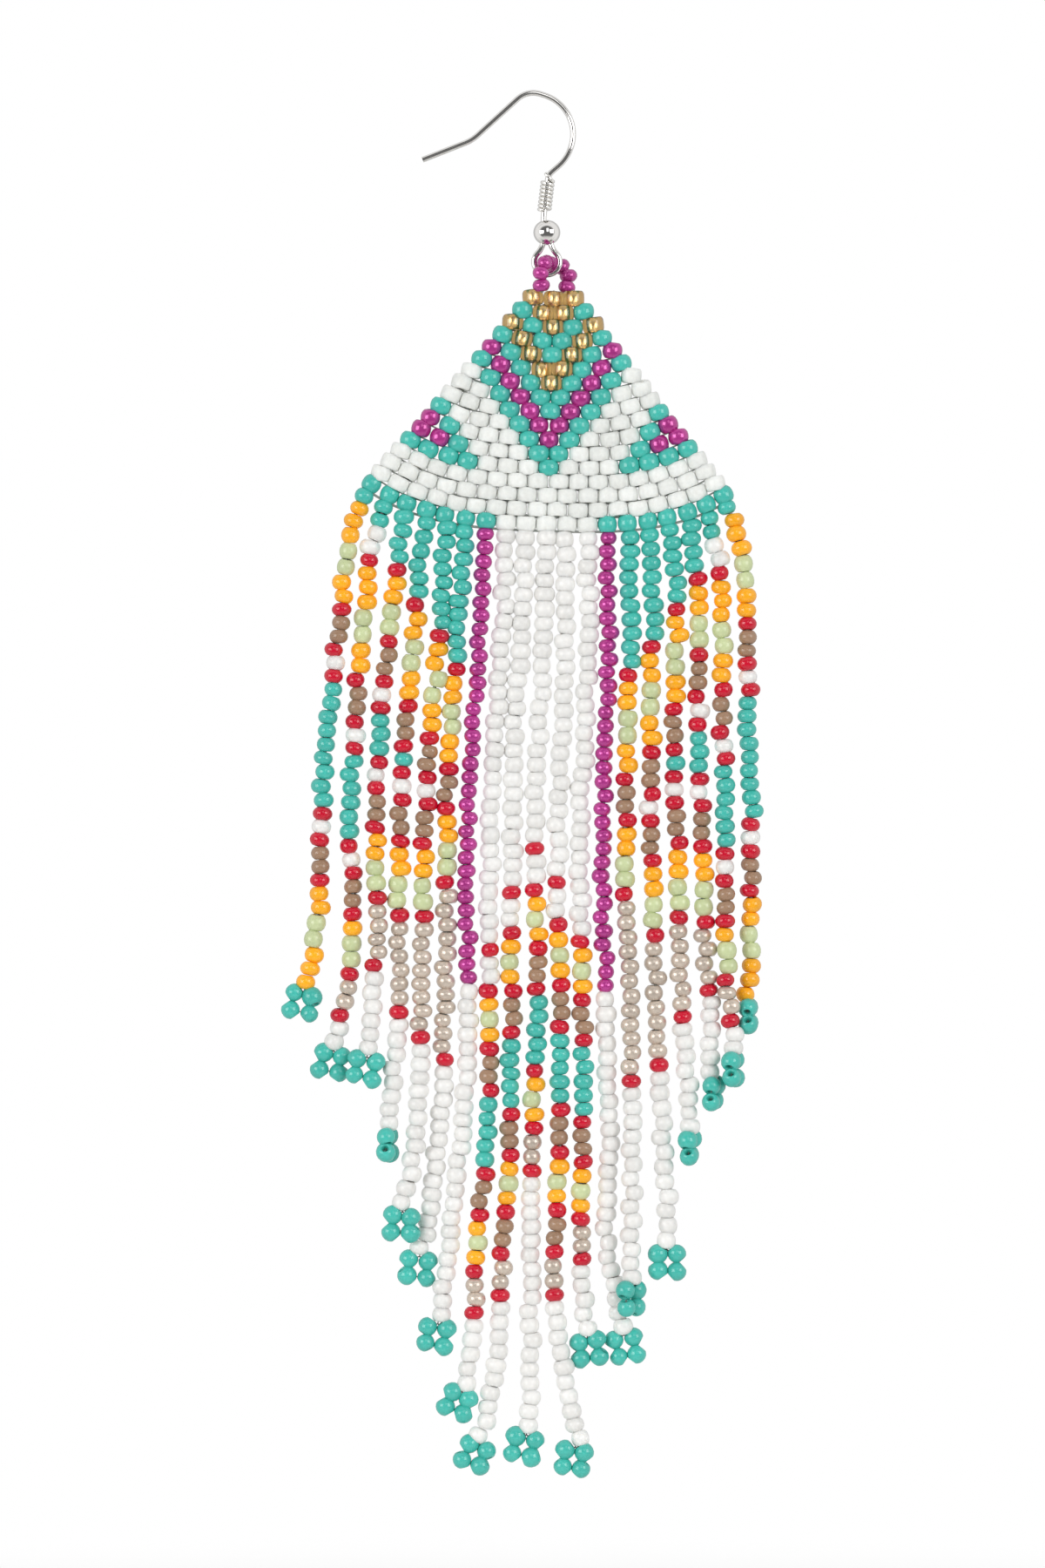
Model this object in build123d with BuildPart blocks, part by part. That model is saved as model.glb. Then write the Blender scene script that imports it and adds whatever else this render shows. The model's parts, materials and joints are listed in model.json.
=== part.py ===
from build123d import *
import os
from math import acos, atan2, cos, degrees, hypot, pi, radians, sin, tan

# A beaded fringe earring, hanging as it does in wear. Millimetres, +Z up, X along the
# panel from left to right, -Y towards the one who looks at its front. The origin lies
# under the crown of the ear wire, where it hangs in the ear.

# Seed beads
bead_dia = 2.05
bead_length = 1.46          # along the hole
thread_gap = 0.10           # thread that shows between two beads
column_gap = 0.20           # between neighbours in a woven row
bead_rounding = 0.15        # what the round rims take off a string's mean width

column_step = bead_dia + column_gap
bead_step = bead_length + thread_gap
string_dia = bead_dia - bead_rounding

# Ear wire
wire_dia = 0.64
crown_radius = 4.7
neck_spacing = 0.72         # between the two wires under the ball
eye_width = 2.2             # inside the eye
eye_drop = 4.7              # from the ball's centre to the eye's lowest wire
neck_drop = 0.16            # from under the ball to where the eye's two wires part
shank_bend_radius = 1.2
arc_share = 0.45            # of the shorter run beside a bend that its arc may take up

# Coil and ball on the shank
coil_wire_dia = 0.43
coil_turns = 9
coil_start = 0.35           # below the shank's bend
coil_clearance = 0.06
ball_dia = 3.0
ball_height = 2.8
ball_gap = 0.83             # bare wire between coil and ball
bore_clearance = 0.05
wire_end_depth = 0.80       # how far the eye's end stands up in the ball, of its height

# Hanging loop
loop_dia = 1.50
loop_rise = 1.45            # from the wire that carries it to the loop's top
loop_reach = 1.38           # of the legs, in front of and behind that wire
loop_foot_spread = 2.6      # between its two feet on the panel
loop_foot_gap = 0.68        # above the panel, at the foot's middle
loop_foot_reach = 0.90      # of the feet, in front of and behind the panel's middle

# Woven panel
first_row_beads = 3
row_count = 17
panel_shift = 0.75          # of the panel's top to the right of the eye
panel_drop = 2.72           # from the eye's lowest wire to the first row
panel_tilt = 1.8            # degrees clockwise
end_rise = 3.8              # of the last row's ends above its middle
rise_growth = 1.5           # how the rise grows with the rows
rise_curl = 3               # how late along a row it comes
web_thickness = 1.3

# Fringe
hang_gap = 0.20             # between panel and string
picot_gap = 0.40            # between string and picot
picot_overlap = 0.15        # of the picot's beads, which press on each other
picot_rim = 0.30            # by which its beads' flat sides are smaller

# Where along a woven row its straight stretches meet, in shares of its half width
ROW_STATIONS = (-1, -0.87, -0.72, -0.50, -0.20, 0.20, 0.50, 0.72, 0.87, 1)

# The ear wire's bends, in crown radii from the crown's centre, and each bend's radius
HOOK_BENDS = [
    # across, up, radius
    (-2.56, -0.60, 0),          # tail tip
    (-1.39, -0.14, 0.90),       # knee
    (-0.08, 1.05, 0.55),        # front of the crown
    (0.73, 0.80, 0.96),
    (1.08, 0.05, 0.96),
    (0.85, -0.585, 0.96),       # back of the crown
]
SHANK_BEND = (0.42, -0.955)     # in crown radii too
shank_lean = 6.6                # degrees from plumb

# The loop's way from its left foot over the eye's wire to its right foot, in shares of
# the foot spread, the reach and the rise, from the middle of the eye's lowest wire
LOOP_ROUTE = [
    # across, away, up
    (-0.33, -1.09, 0.0),
    (-0.08, -0.98, 0.97),
    (0.05, 1.34, 0.94),
    (0.88, 1.42, 0.64),
    (0.96, 0.92, -0.21),
]

# The strings, left to right: how far each one's end stands behind the panel (less than
# nothing is in front), the turn of its picot about the plumb line and in its own plane,
# and the way down from its woven bead, in columns across and beads down
STRINGS = [
    # end depth, picot turn, picot roll, route
    (0.0, 0, -11, [(-0.77, 1.8), (-1.23, 4.7), (-1.61, 10.8), (-2.26, 17.6), (-2.48, 24.1), (-2.52, 30.6),
                   (-3.23, 35.5)]),
    (0.8, 0, -12, [(-0.58, 2.1), (-0.97, 5.7), (-1.34, 10.8), (-1.71, 17.3), (-1.94, 24.7), (-1.65, 31.7),
                   (-2.13, 35.9), (-2.65, 39.0)]),
    (-0.9, 0, -10, [(-0.29, 2.2), (-0.58, 5.8), (-1.03, 10.9), (-1.45, 16.9), (-1.58, 24.3), (-1.45, 32.2),
                    (-1.90, 38.8)]),
    (0.0, 80, 0, [(-0.23, 2.7), (-0.45, 7.2), (-0.90, 13.2), (-1.26, 20.2), (-1.42, 27.1), (-1.26, 34.6),
                  (-1.55, 39.7), (-1.94, 43.7)]),
    (-0.8, 0, -6, [(-0.10, 4.3), (-0.44, 10.6), (-0.90, 17.6), (-1.10, 25.0), (-1.23, 32.9), (-1.26, 40.8),
                   (-1.58, 45.9), (-2.10, 49.0)]),
    (0.8, 0, -8, [(-0.17, 4.3), (-0.56, 11.2), (-0.91, 19.1), (-0.94, 27.0), (-1.04, 34.5), (-1.20, 41.4),
                  (-1.55, 47.6), (-2.23, 52.0)]),
    (0.0, 0, -10, [(-0.17, 5.0), (-0.55, 13.4), (-1.04, 22.7), (-0.88, 30.6), (-0.85, 38.0), (-1.26, 45.4),
                   (-1.72, 51.2), (-2.30, 56.6)]),
    (0.0, 0, -24, [(-0.08, 5.5), (-0.50, 13.8), (-0.88, 23.6), (-0.79, 33.4), (-0.85, 43.1), (-1.46, 51.0),
                   (-1.59, 57.3), (-1.98, 61.4)]),
    (0.0, 0, -20, [(-0.10, 5.9), (-0.58, 15.2), (-0.75, 24.5), (-0.69, 34.3), (-0.77, 44.1), (-1.26, 52.9),
                   (-1.39, 59.4), (-2.19, 65.0)]),
    (0.0, 0, -15, [(-0.03, 5.9), (-0.42, 14.3), (-0.61, 23.1), (-0.39, 32.4), (-0.55, 41.7), (-0.84, 51.0),
                   (-0.77, 58.5), (-0.88, 64.3)]),
    (-0.4, 0, -9, [(-0.03, 6.0), (-0.23, 15.3), (-0.55, 24.2), (-0.35, 33.9), (-0.29, 43.7), (-0.68, 52.2),
                    (-0.39, 59.5), (0.49, 65.1)]),
    (0.3, 0, 8, [(0.12, 4.9), (-0.04, 13.8), (-0.36, 23.0), (-0.20, 32.3), (-0.14, 41.6), (-0.39, 50.0),
                 (-0.04, 57.3)]),
    (1.0, 0, 12, [(0.10, 4.7), (0.00, 13.1), (-0.26, 21.9), (-0.06, 31.2), (-0.03, 38.7), (0.16, 45.0),
                  (-0.19, 51.3), (0.71, 57.2)]),
    (-1.2, 55, 0, [(0.18, 4.6), (0.08, 11.9), (-0.14, 21.2), (0.02, 30.9), (0.31, 40.7), (0.18, 48.1),
                   (0.15, 53.7)]),
    (0.0, 0, 0, [(0.29, 4.1), (0.20, 11.3), (0.14, 20.6), (0.35, 29.9), (0.48, 38.3), (0.87, 45.3),
                 (0.97, 51.3)]),
    (0.0, 80, 0, [(0.43, 4.1), (0.44, 9.7), (0.28, 16.6), (0.50, 24.1), (0.57, 30.1), (0.80, 37.1),
                  (1.08, 43.4)]),
    (0.0, 80, 0, [(0.45, 2.9), (0.63, 7.3), (0.54, 14.8), (0.75, 22.7), (0.87, 30.6), (1.19, 35.7),
                  (1.26, 39.9)]),
    (-1.0, 80, 0, [(0.65, 3.1), (0.85, 8.1), (0.79, 14.9), (0.98, 22.8), (1.01, 30.2), (1.06, 34.7),
                   (1.33, 38.7)]),
    (1.2, 88, 0, [(0.73, 2.7), (1.17, 7.0), (1.15, 14.1), (1.34, 21.5), (1.37, 28.8), (1.25, 35.6)]),
]


def heading(start, end):
    """The direction from one point of the drawing to the next, in degrees above +X."""
    return degrees(atan2(end[1] - start[1], end[0] - start[0]))


def bend_radii(route):
    """The largest arc that the two runs at each corner of a route leave room for."""
    radii = []
    for before, corner, after in zip(route, route[1:], route[2:]):
        run_in, run_out = corner - before, after - corner
        turn = run_in.get_angle(run_out)
        radii.append(arc_share * min(run_in.length, run_out.length) / tan(radians(turn) / 2))
    return radii


def report_tube(name, part, path, radii, dia):
    """Prints a tube's arcs, and its volume against its section times its length."""
    length = path.wire().length
    share = part.volume / (pi * dia**2 / 4 * length)
    arcs = " ".join(f"{radius:.1f}" for radius in radii)
    print(f"{name}: length {length:.1f}, volume share {share:.4f}, radii {arcs}")


# The hang point is the top of the bend at the front of the crown
(_, knee, front_bend, rear_bend) = [
    (crown_radius * across, crown_radius * up) for across, up, _ in HOOK_BENDS[:4]
]
front_radius = crown_radius * HOOK_BENDS[2][2]
rise_angle = radians(heading(knee, front_bend))
fall_angle = radians(heading(front_bend, rear_bend))
front_tangent = front_radius * tan((rise_angle - fall_angle) / 2)
top_x = front_bend[0] - front_tangent * cos(rise_angle) + front_radius * sin(rise_angle)
top_z = front_bend[1] - front_tangent * sin(rise_angle) - front_radius * cos(rise_angle) + front_radius


def hook_point(across, up):
    """A point given in crown radii, in the drawing whose origin is the hang point."""
    return (crown_radius * across - top_x, crown_radius * up - top_z + wire_dia / 2)


# The shank runs down from its bend, turns plumb over the ball and ends in the eye
shank_top = hook_point(*SHANK_BEND)
coil_length = coil_turns * coil_wire_dia
shank_length = coil_start + coil_length + ball_gap - wire_dia / 2
shank_foot = (
    shank_top[0] - shank_length * sin(radians(shank_lean)),
    shank_top[1] - shank_length * cos(radians(shank_lean)),
)
ball_x = shank_foot[0] + neck_spacing / 2
ball_z = shank_foot[1] - wire_dia / 2 - ball_height / 2
seat_z = ball_z - eye_drop
eye_radius = (eye_width + wire_dia) / 2
eye_z = seat_z + eye_radius

# Where the eye's slanting sides meet its round bottom, and where they meet the neck
neck_z = ball_z - ball_height / 2 - neck_drop
neck_rise = neck_z - eye_z
neck_distance = hypot(neck_spacing / 2, neck_rise)
side_angle = atan2(neck_spacing / 2, neck_rise) + acos(eye_radius / neck_distance)
side_dx = eye_radius * sin(side_angle)
side_dz = eye_radius * cos(side_angle)
side_run = hypot(side_dx - neck_spacing / 2, neck_rise - side_dz)
neck_turn = atan2(side_dx - neck_spacing / 2, neck_rise - side_dz)
neck_radius = 2 * arc_share * side_run / tan(neck_turn / 2)
wire_end_z = ball_z - ball_height / 2 + wire_end_depth * ball_height

hook_points = [hook_point(across, up) for across, up, _ in HOOK_BENDS]
hook_radii = [crown_radius * radius for _, _, radius in HOOK_BENDS[1:]]

os.makedirs("parts", exist_ok=True)

with BuildPart() as ear_wire:
    with BuildLine(Plane.XZ) as wire_path:
        FilletPolyline(
            *hook_points,
            shank_top,
            shank_foot,
            (ball_x - neck_spacing / 2, neck_z),
            (ball_x - side_dx, eye_z + side_dz),
            radius=[*hook_radii, shank_bend_radius, shank_bend_radius, neck_radius],
        )
        ThreePointArc(
            (ball_x - side_dx, eye_z + side_dz),
            (ball_x, seat_z),
            (ball_x + side_dx, eye_z + side_dz),
        )
        FilletPolyline(
            (ball_x + side_dx, eye_z + side_dz),
            (ball_x + neck_spacing / 2, neck_z),
            (ball_x + neck_spacing / 2, wire_end_z),
            radius=neck_radius,
        )
    with BuildSketch(wire_path.line ^ 0):
        Circle(wire_dia / 2)
    sweep(path=wire_path.line)
ear_wire.part.label = "ear_wire"
export_step(ear_wire.part, "parts/ear_wire.step")

# The coil is a sleeve round the shank, with a rib for each turn of its wire
coil_plane = Plane(
    origin=(
        shank_top[0] - coil_start * sin(radians(shank_lean)),
        0,
        shank_top[1] - coil_start * cos(radians(shank_lean)),
    ),
    x_dir=(cos(radians(shank_lean)), 0, -sin(radians(shank_lean))),
    z_dir=(0, -1, 0),
)
coil_bore = wire_dia / 2 + coil_clearance
rib_root = coil_bore + coil_wire_dia / 2
with BuildPart() as ear_coil:
    with BuildSketch(coil_plane):
        with BuildLine():
            for turn in range(coil_turns):
                rib_top = -turn * coil_wire_dia
                ThreePointArc(
                    (rib_root, rib_top),
                    (rib_root + coil_wire_dia / 2, rib_top - coil_wire_dia / 2),
                    (rib_root, rib_top - coil_wire_dia),
                )
            Polyline((rib_root, -coil_length), (coil_bore, -coil_length), (coil_bore, 0), (rib_root, 0))
        make_face()
    revolve(axis=Axis(coil_plane.origin, coil_plane.y_dir))
ear_coil.part.label = "ear_coil"
export_step(ear_coil.part, "parts/ear_coil.step")

ball_plane = Plane(origin=(ball_x, 0, ball_z), x_dir=(1, 0, 0), z_dir=(0, -1, 0))
with BuildPart() as ear_ball:
    with BuildSketch(ball_plane):
        Ellipse(ball_dia / 2, ball_height / 2)
        split(bisect_by=Plane.YZ, keep=Keep.TOP)
    revolve(axis=Axis(ball_plane.origin, (0, 0, 1)))
    with BuildSketch(Plane(origin=ball_plane.origin)):
        SlotCenterToCenter(neck_spacing, wire_dia + 2 * bore_clearance)
    extrude(amount=ball_height, both=True, mode=Mode.SUBTRACT)
ear_ball.part.label = "ear_ball"
export_step(ear_ball.part, "parts/ear_ball.step")

# The panel's drawing has its origin in the middle of the first row, and leans with it
tilt = radians(panel_tilt)
panel_plane = Plane(
    origin=(ball_x + panel_shift, 0, seat_z - panel_drop),
    x_dir=(cos(tilt), 0, -sin(tilt)),
    z_dir=(0, -1, 0),
)
last_half_span = (first_row_beads + row_count - 2) / 2 * column_step


def half_span(row):
    """From a row's middle to the centre of its last bead."""
    return (first_row_beads + row - 2) / 2 * column_step


def row_point(row, along, below):
    """A point of a woven row, so far along it from its middle and so far below it."""
    rise = end_rise * (half_span(row) / last_half_span) ** rise_growth
    steepness = rise / half_span(row)
    share = abs(along) / half_span(row)
    slope = rise_curl * steepness * share ** (rise_curl - 1) * (1 if along > 0 else -1)
    # The same length of row reaches less far across where it climbs
    across = along * (1 - rise_curl**2 / (4 * rise_curl - 2) * steepness**2 * share ** (2 * rise_curl - 2))
    up = rise * share**rise_curl - (row - 1) * bead_step
    length = hypot(1, slope)
    return (across + below * slope / length, up - below / length)


def row_edge(row, below):
    """A row's upper or lower edge, from left to right."""
    half_width = half_span(row) + bead_dia / 2
    return [row_point(row, share * half_width, below) for share in ROW_STATIONS]


# A web in the thread's plane carries a ridge of full thickness for each row of beads
rows = range(1, row_count + 1)
web_sides = [(row_edge(row, -bead_step / 2), row_edge(row, bead_step / 2)) for row in rows]
with BuildPart() as bead_panel:
    with BuildSketch(panel_plane):
        with BuildLine():
            Polyline(
                *[side[0] for upper, lower in reversed(web_sides) for side in (lower, upper)],
                *web_sides[0][0][1:-1],
                *[side[-1] for upper, lower in web_sides for side in (upper, lower)],
                *reversed(web_sides[-1][1][1:-1]),
                close=True,
            )
        make_face()
    extrude(amount=web_thickness / 2, both=True)
    with BuildSketch(panel_plane):
        for row in rows:
            with BuildLine():
                upper, lower = row_edge(row, -bead_length / 2), row_edge(row, bead_length / 2)
                Polyline(*upper, *reversed(lower), close=True)
            make_face()
    extrude(amount=bead_dia / 2, both=True)
bead_panel.part.label = "bead_panel"
export_step(bead_panel.part, "parts/bead_panel.step")

# The hanging loop goes from the panel's top, through the eye, and back to the panel
foot_height = bead_length / 2 + loop_foot_gap
left_foot, right_foot = (
    panel_plane.from_local_coords((side * loop_foot_spread / 2, foot_height, -side * loop_foot_reach))
    for side in (-1, 1)
)
seat = Vector(ball_x, 0, seat_z)
loop_route = [
    left_foot,
    *(
        seat + Vector(across * loop_foot_spread, away * loop_reach, up * loop_rise)
        for across, away, up in LOOP_ROUTE
    ),
    right_foot,
]
loop_radii = bend_radii(loop_route)
with BuildPart() as hanging_loop:
    with BuildLine() as loop_path:
        FilletPolyline(*loop_route, radius=loop_radii)
    with BuildSketch(loop_path.line ^ 0):
        Circle(loop_dia / 2)
    sweep(path=loop_path.line)
hanging_loop.part.label = "hanging_loop"
export_step(hanging_loop.part, "parts/hanging_loop.step")
report_tube("hanging_loop", hanging_loop.part, loop_path, loop_radii, loop_dia)

# Each string hangs from its woven bead in the last row and ends in a picot
picot_width = bead_dia - picot_overlap
picot_drop = picot_width / 2 + bead_dia / 2 + picot_gap
picot_discs = ((bead_dia / 2, bead_dia / 2 - picot_rim), (bead_dia / 2 - picot_rim, bead_dia / 2))
for column, (end_depth, picot_turn, picot_roll, drops) in enumerate(STRINGS):
    along = column * column_step - last_half_span
    woven_bead, string_top = (
        panel_plane.from_local_coords((*row_point(row_count, along, below), 0))
        for below in (0, bead_length / 2 + hang_gap)
    )
    route = [string_top]
    for across, down in drops:
        depth = end_depth * (down / drops[-1][1]) ** 2
        route.append(woven_bead + Vector(across * column_step, depth, -down * bead_step))
    radii = bend_radii(route)

    with BuildPart() as strand:
        with BuildLine() as strand_path:
            FilletPolyline(*route, radius=radii)
        with BuildSketch(strand_path.line ^ 0):
            Circle(string_dia / 2)
        sweep(path=strand_path.line)
    strand.part.label = f"strand_{column + 1:02d}"
    export_step(strand.part, f"parts/{strand.part.label}.step")
    report_tube(strand.part.label, strand.part, strand_path, radii, string_dia)

    # The four beads of the picot lie in a plane of their own under the string's end
    turn, roll = radians(picot_turn), radians(picot_roll)
    picot_plane = Plane(
        origin=route[-1],
        x_dir=(cos(turn) * cos(roll), sin(turn) * cos(roll), sin(roll)),
        z_dir=(sin(turn), -cos(turn), 0),
    )
    with BuildPart() as picot:
        for radius, half_depth in picot_discs:
            with BuildSketch(picot_plane):
                with Locations((0, -picot_drop)):
                    with GridLocations(picot_width, picot_width, 2, 2):
                        Circle(radius)
            extrude(amount=half_depth, both=True)
    picot.part.label = f"picot_{column + 1:02d}"
    export_step(picot.part, f"parts/{picot.part.label}.step")
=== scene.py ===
import json
from math import cos, pi, radians, sin, tan
import random

import bpy
import numpy as np
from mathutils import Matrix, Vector


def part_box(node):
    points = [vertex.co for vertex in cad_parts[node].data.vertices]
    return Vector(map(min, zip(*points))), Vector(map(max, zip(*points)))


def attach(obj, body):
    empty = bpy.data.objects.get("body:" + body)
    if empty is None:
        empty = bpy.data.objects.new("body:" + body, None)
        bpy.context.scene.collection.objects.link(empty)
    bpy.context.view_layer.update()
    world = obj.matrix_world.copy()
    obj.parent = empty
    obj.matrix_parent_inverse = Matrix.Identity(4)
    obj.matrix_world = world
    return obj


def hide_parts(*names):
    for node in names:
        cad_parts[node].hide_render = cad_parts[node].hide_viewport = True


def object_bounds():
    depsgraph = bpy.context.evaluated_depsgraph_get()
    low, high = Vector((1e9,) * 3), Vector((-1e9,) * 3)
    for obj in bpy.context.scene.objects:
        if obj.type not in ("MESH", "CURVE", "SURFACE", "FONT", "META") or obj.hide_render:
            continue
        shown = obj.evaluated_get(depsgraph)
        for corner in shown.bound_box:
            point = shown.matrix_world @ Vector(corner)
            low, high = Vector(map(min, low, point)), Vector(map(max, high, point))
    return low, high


# A beaded fringe earring: every seed bead, the thread through them and the wound wire on
# its ear hook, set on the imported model. Metres, +Z up, -Y towards the one who looks on.

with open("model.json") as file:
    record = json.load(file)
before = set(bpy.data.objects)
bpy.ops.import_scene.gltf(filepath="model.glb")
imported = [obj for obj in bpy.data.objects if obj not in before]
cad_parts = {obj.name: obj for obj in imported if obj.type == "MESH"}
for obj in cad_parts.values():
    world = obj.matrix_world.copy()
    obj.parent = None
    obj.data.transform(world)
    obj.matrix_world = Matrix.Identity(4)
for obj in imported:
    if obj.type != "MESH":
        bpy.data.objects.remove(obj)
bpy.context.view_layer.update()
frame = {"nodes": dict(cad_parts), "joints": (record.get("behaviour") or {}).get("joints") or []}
chance = random.Random(11)

MM = 0.001

# Seed beads, size 11
BEAD_WIDTH = 2.05 * MM
COLUMN_STEP = 2.25 * MM
ROW_STEP = 1.56 * MM
BEAD_SIDES = 18
CUT_SLANT = 0.06                # at most, of a bead's ends, which are never cut quite square
TOUCH = 0.98                    # of the step to the next bead, which a string's bead fills
WHITE_TOUCH = 1.05              # the white ones' soft rims press on each other
SHORT_WHITE = 0.93              # a white bead after a red one is short

# Woven triangle, as in the model
FIRST_ROW_BEADS = 3
ROW_COUNT = 17
PANEL_SHIFT = 0.75 * MM         # from the eye's lowest wire to the middle of the first row
PANEL_DROP = 2.72 * MM
PANEL_TILT = radians(1.8)
END_RISE = 3.8 * MM             # of the last row's ends above its middle
RISE_GROWTH = 1.5               # power by which the rise grows from row to row
RISE_CURL = 3                   # power by which a row curls up towards its ends
EDGE_LEAN = radians(14)         # of a row's end beads, which are held on one side only

# Picots
PICOT_WIDTH = 2.08 * MM         # between the centres of its beads, across
PICOT_HEIGHT = 1.86 * MM        # and up
PICOT_DROP = 2.375 * MM         # from the string's last bead to the picot's middle
PICOT_GIRTH = 1.05              # against a size 11 bead
PICOT_LENGTH = 0.85             # of such a bead's width

# Hanging loop
LOOP_FOOT_SPREAD = 2.6 * MM
LOOP_FOOT_REACH = 0.80 * MM
LOOP_FOOT_HEIGHT = 0.80 * MM
LOOP_REACH = 1.38 * MM
LOOP_RISE = 1.45 * MM
LOOP_GIRTHS = [0.97, 0.90, 0.85, 0.86, 0.86, 0.93, 0.97, 0.95]      # slim beside the wire, to swing free
LOOP_TIP = 0.12                 # of its turn to the back, by which a loose bead follows the thread

# Threads
PICOT_THREAD_WIDTH = 0.16 * MM
STRING_THREAD_WIDTH = 0.42 * MM     # the doubled thread that fills much of a bead's hole
ROW_THREAD_WIDTH = 0.20 * MM        # between the woven rows, where it passes twice
LAST_THREAD_WIDTH = 0.30 * MM       # under the last row, where the strings' threads join it
ROW_THREAD_DROP = 0.53              # of a row's step, from the beads' middles to the thread under them
ROW_THREAD_DEPTH = 0.06 * MM        # by which its loops stand to the front and to the back
HOLE_THREAD_REACH = 0.8 * MM        # up and down from a woven bead's middle
STRING_THREAD_STRIDE, LOOP_THREAD_STRIDE = 6, 4     # a thread bends at every so many points of its line
ROUNDED_END = ((0.30, 0.75), (0.45, 0.15))      # how far a thread's end stands out and how wide it is there

# Coil
COIL_WIRE = 0.43 * MM
COIL_WIRE_GIRTH = 0.97              # of its turns' step, so that a fine line parts them
COIL_RADIUS = 0.60 * MM             # to the middle of its wire
COIL_TURNS = 9
COIL_LEAN = radians(6.6)
COIL_END = radians(118)             # where its free end stands, round from the right over the front
COIL_TAIL = 0.60 * MM               # by which that end stands up off the top turn
COIL_TAIL_TURNS = 0.3               # over which it does so
COIL_STEP = 0.05                    # of a turn, from point to point

# How uneven the work is: the spread about an even size, place or direction
WOVEN_LEAN, WOVEN_NOD = radians(2.5), radians(4)        # in the panel's plane, and out of it
WOVEN_SHIFT, WOVEN_STAND = 0.04 * MM, 0.06 * MM         # along the row, and to the front or back
WOVEN_WIDTH_SPREAD, WOVEN_LENGTH_SPREAD = 0.015, 0.02
STRING_LEAN, STRING_NOD = 0.10, 0.06                    # as slopes, and so are the picots'
STRING_SHIFT, STRING_STAND = 0.15 * MM, 0.09 * MM
STRING_WIDTH_SPREAD, STRING_ROOM_SPREAD = 0.038, 0.04
PICOT_LEAN, PICOT_NOD = 0.3, 0.15
PICOT_SHIFT, PICOT_STAND = 0.06 * MM, 0.10 * MM
PICOT_WIDTH_SPREAD = 0.03

# The weaver's chart, row by row: A silver-lined amber, T turquoise, P purple, W white
PANEL_CHART = [
    "A3", "T A2 T", "A T A T A", "T A T2 A T", "P T A T A T P", "T P T A2 T P T",
    "W T P T A T P T W", "W2 T P T2 P T W2", "W3 T P T P T W3", "T W3 T P2 T W3 T",
    "P T W3 T P T W3 T P", "P2 T W3 T2 W3 T P2", "T4 W3 T W3 T4", "W16", "W17", "W18",
    "T7 W5 T7",
]

# The strings' chart from the panel down, the woven bead first: O orange, G pale green,
# R red, B brown, N pearly champagne, V the brighter white of the fringe
TOP_BAND = "R B2 R V R"
OUTER_CHART = [
    f"T2 O3 G2 O2 {TOP_BAND} T9 R V R B2 R O2 G2 O3",
    f"T3 V2 R O3 G2 O2 {TOP_BAND} T6 R V R B2 R O G2 R N2 R V2",
    f"T5 R O2 G2 {TOP_BAND} T3 R V R B2 R O2 G2 R N4 R V6",
    "T7 R O2 G2 O2 R B2 R T R V R B2 R O2 G2 R N6 R V8",
    "T9 R O2 G2 O2 R B2 R V R B2 R O2 G2 R N8 R V12",
    "T11 R O2 G2 O2 R B2 R O2 G2 R N12 R V14",
    "T P34 V24",
]
MIDDLE_BAND = "R O G O R B2 R T5 R"
STRING_CHART = [
    *OUTER_CHART,
    f"V30 R V2 {MIDDLE_BAND} B2 R O G O R N2 R V5",
    f"V26 R V2 {MIDDLE_BAND} B2 R O G O R B2 R N2 R V10",
    f"V23 R V2 {MIDDLE_BAND} O G O R N2 R V18",
    f"V25 R V2 {MIDDLE_BAND} B2 R O G O R B2 R N2 R V10",
    f"V30 {MIDDLE_BAND} B2 R O G O R N2 R V5",
    *reversed(OUTER_CHART),
]

# How much room beads of each colour take along a string, against each other, and how
# wide they are against a size 11 bead
BEAD_ROOM = {"T": 1.05, "O": 1.08, "G": 1.26, "R": 1.03, "B": 1.03, "V": 1.08, "N": 1.07, "P": 1.02}
BEAD_GIRTH = {"T": 1.05, "O": 1.07, "G": 1.04, "R": 1.05, "B": 1.01, "V": 1.05, "N": 1.02, "P": 0.95}
# Width and length of the beads in the woven triangle, where each colour settles in its own way
WOVEN_SIZE = {"T": (2.34 * MM, 1.80 * MM), "P": (2.24 * MM, 1.78 * MM),
              "W": (2.30 * MM, 1.63 * MM), "A": (2.38 * MM, 1.72 * MM)}
LAST_ROW_GIRTH = 0.93           # the turquoise beads in the last row are slimmer

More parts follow.
